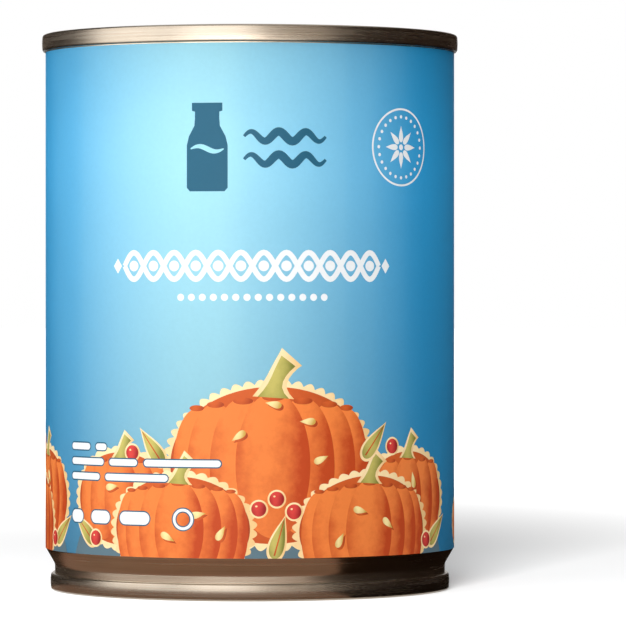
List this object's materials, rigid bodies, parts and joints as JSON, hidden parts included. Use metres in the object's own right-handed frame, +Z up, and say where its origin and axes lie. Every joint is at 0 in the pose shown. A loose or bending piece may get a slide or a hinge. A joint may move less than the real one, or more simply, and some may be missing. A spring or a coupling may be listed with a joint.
{
  "type": "evaporated milk can",
  "caption": "Shut cylindrical food can with rolled seams, a necked-in foot, plain pressed ends and a glued paper label.",
  "frame": {"origin": "centre of the foot, on the surface that the can stands on", "axes": "+Z up along the can's axis; -Y is the label's front, and +Y is its glued lap"},
  "size_m": [0.0746, 0.0746, 0.0992],
  "materials": {
    "body_metal": "satin gold-bronze lacquer over tinplate, drawn round the can",
    "end_metal": "satin pale gold lacquer over tinplate",
    "label_paper": "semi-gloss coated paper, printed sky blue with a harvest band"
  },
  "bodies": {
    "root": {"can_body": "body_metal", "top_end": "end_metal", "bottom_end": "end_metal", "label": "label_paper"}
  },
  "joints": []
}
